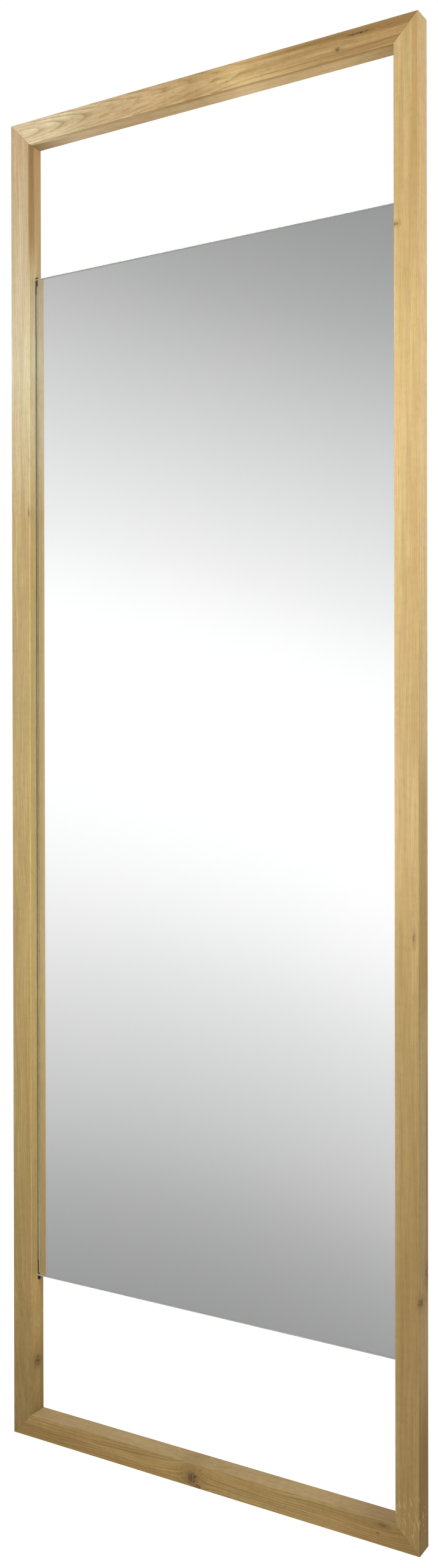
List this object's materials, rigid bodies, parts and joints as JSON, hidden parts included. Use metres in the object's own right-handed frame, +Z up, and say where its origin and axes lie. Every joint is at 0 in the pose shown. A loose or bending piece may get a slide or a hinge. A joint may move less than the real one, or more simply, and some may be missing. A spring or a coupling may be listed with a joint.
{
  "type": "leaning floor mirror",
  "caption": "Tall leaning floor mirror: a slim mitred oak frame whose stiles hold a frameless mirror pane in grooves, open above and below it.",
  "frame": {"origin": "middle of the bottom rail's underside, halfway between the frame's front and back faces", "axes": "+Z up the stiles; +Y from the front face to the back; +X to the right, seen from the front"},
  "size_m": [0.6, 0.0319, 1.8],
  "materials": {
    "oak": "planed oak with a thin matt oil, honey coloured, open grain",
    "beech": "compressed beech, unfinished",
    "mirror": "silvered float glass with ground edges",
    "hardboard": "brown hardboard, smooth on the outside",
    "tape": "white double-sided tape",
    "block_rubber": "black glazing rubber",
    "bumper_rubber": "dark matt rubber button",
    "zinc_steel": "bright zinc plating",
    "screw_steel": "bright zinc plating"
  },
  "bodies": {
    "frame": {"left_stile": "oak", "right_stile": "oak", "top_rail": "oak", "bottom_rail": "oak", "corner_tenon_top_left": "beech", "corner_tenon_top_right": "beech", "corner_tenon_bottom_left": "beech", "corner_tenon_bottom_right": "beech", "mirror_glass": "mirror", "backing_board": "hardboard", "bond_tape_1": "tape", "bond_tape_2": "tape", "bond_tape_3": "tape", "bond_tape_4": "tape", "glazing_tape_left": "tape", "glazing_tape_right": "tape", "setting_block_left": "block_rubber", "setting_block_right": "block_rubber", "wall_bumper_top_left": "bumper_rubber", "wall_bumper_top_right": "bumper_rubber", "wall_bumper_bottom_left": "bumper_rubber", "wall_bumper_bottom_right": "bumper_rubber", "hanger_strap_left": "zinc_steel", "hanger_strap_right": "zinc_steel", "hanger_screw_left_lower": "screw_steel", "hanger_screw_left_upper": "screw_steel", "hanger_screw_right_lower": "screw_steel", "hanger_screw_right_upper": "screw_steel"},
    "ring_left": {"hanger_ring_left": "zinc_steel"},
    "ring_right": {"hanger_ring_right": "zinc_steel"}
  },
  "joints": [
    {"name": "ring_left_swing", "type": "hinge", "parent": "frame", "child": "ring_left", "pos_m": [-0.28425, 0.01605, 1.67], "axis": [1, 0, 0], "range_deg": [0, 175]},
    {"name": "ring_right_swing", "type": "hinge", "parent": "frame", "child": "ring_right", "pos_m": [0.28425, 0.01605, 1.67], "axis": [1, 0, 0], "range_deg": [0, 175]}
  ]
}
